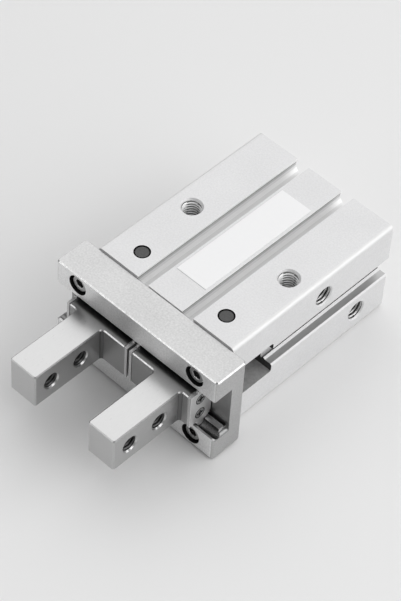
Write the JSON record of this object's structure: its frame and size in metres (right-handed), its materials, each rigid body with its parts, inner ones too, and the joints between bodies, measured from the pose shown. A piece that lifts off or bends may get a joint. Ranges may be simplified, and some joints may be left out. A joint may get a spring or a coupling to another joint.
{
  "type": "mini parallel gripper",
  "caption": "Air-driven parallel gripper: a slotted square cylinder body with a steel cross guide and two sliding fingers moved by bell-crank levers.",
  "frame": {"origin": "centre of the rear mounting face, on the cylinder's axis", "axes": "+Y out of the rear face so the fingers point along -Y, +X the side with the air ports, +Z the labelled top"},
  "size_m": [0.05, 0.0848, 0.0276],
  "materials": {
    "anodised_aluminium": "satin anodised",
    "ground_steel": "fine ground",
    "finger_steel": "fine ground",
    "lever_steel": "sintered, satin",
    "plate_steel": "pressed sheet",
    "pin_steel": "ground, hardened",
    "ball_steel": "polished",
    "spring_steel": "phosphated",
    "black_screw_steel": "plated",
    "seal_rubber": "moulded nitrile rubber",
    "magnet_rubber": "rubber-bonded magnet",
    "label_film": "blank printed film"
  },
  "bodies": {
    "housing": {"housing": "anodised_aluminium", "guide": "ground_steel", "guide_screws": "black_screw_steel", "guide_dowels": "pin_steel", "left_lever_shaft": "pin_steel", "right_lever_shaft": "pin_steel", "rod_seal": "seal_rubber", "rod_bumper": "seal_rubber", "end_cap": "anodised_aluminium", "cap_gasket": "seal_rubber", "head_bumper": "seal_rubber", "retaining_ring": "spring_steel", "label": "label_film"},
    "piston": {"piston": "anodised_aluminium", "piston_rod": "pin_steel", "piston_seal": "seal_rubber", "piston_magnet": "magnet_rubber"},
    "left_finger": {"left_finger": "finger_steel", "left_inner_end_plate": "plate_steel", "left_outer_end_plate": "plate_steel", "left_plate_screws": "black_screw_steel"},
    "left_balls": {"left_upper_balls": "ball_steel", "left_lower_balls": "ball_steel"},
    "left_lever": {"left_lever": "lever_steel"},
    "right_finger": {"right_finger": "finger_steel", "right_inner_end_plate": "plate_steel", "right_outer_end_plate": "plate_steel", "right_plate_screws": "black_screw_steel"},
    "right_balls": {"right_upper_balls": "ball_steel", "right_lower_balls": "ball_steel"},
    "right_lever": {"right_lever": "lever_steel"}
  },
  "joints": [
    {"name": "piston_slide", "type": "slide", "parent": "housing", "child": "piston", "axis": [0, -1, 0], "range_m": [0, 0.00367]},
    {"name": "left_lever_turn", "type": "hinge", "parent": "housing", "child": "left_lever", "pos_m": [-0.0131, -0.0471, 0], "axis": [0, 0, -1], "range_deg": [0, 23.27]},
    {"name": "left_finger_slide", "type": "slide", "parent": "housing", "child": "left_finger", "axis": [-1, 0, 0], "range_m": [0, 0.005]},
    {"name": "left_balls_slide", "type": "slide", "parent": "housing", "child": "left_balls", "axis": [-1, 0, 0], "range_m": [0, 0.0025]},
    {"name": "right_lever_turn", "type": "hinge", "parent": "housing", "child": "right_lever", "pos_m": [0.0131, -0.0471, 0], "axis": [0, 0, 1], "range_deg": [0, 23.27]},
    {"name": "right_finger_slide", "type": "slide", "parent": "housing", "child": "right_finger", "axis": [1, 0, 0], "range_m": [0, 0.005]},
    {"name": "right_balls_slide", "type": "slide", "parent": "housing", "child": "right_balls", "axis": [1, 0, 0], "range_m": [0, 0.0025]}
  ],
  "couplings": [
    {"joint": "left_lever_turn", "follows": "piston_slide", "rad_per_m": 110.69},
    {"joint": "left_finger_slide", "follows": "piston_slide", "ratio": 1.3631},
    {"joint": "left_balls_slide", "follows": "piston_slide", "ratio": 0.68156},
    {"joint": "right_lever_turn", "follows": "piston_slide", "rad_per_m": 110.69},
    {"joint": "right_finger_slide", "follows": "piston_slide", "ratio": 1.3631},
    {"joint": "right_balls_slide", "follows": "piston_slide", "ratio": 0.68156}
  ]
}
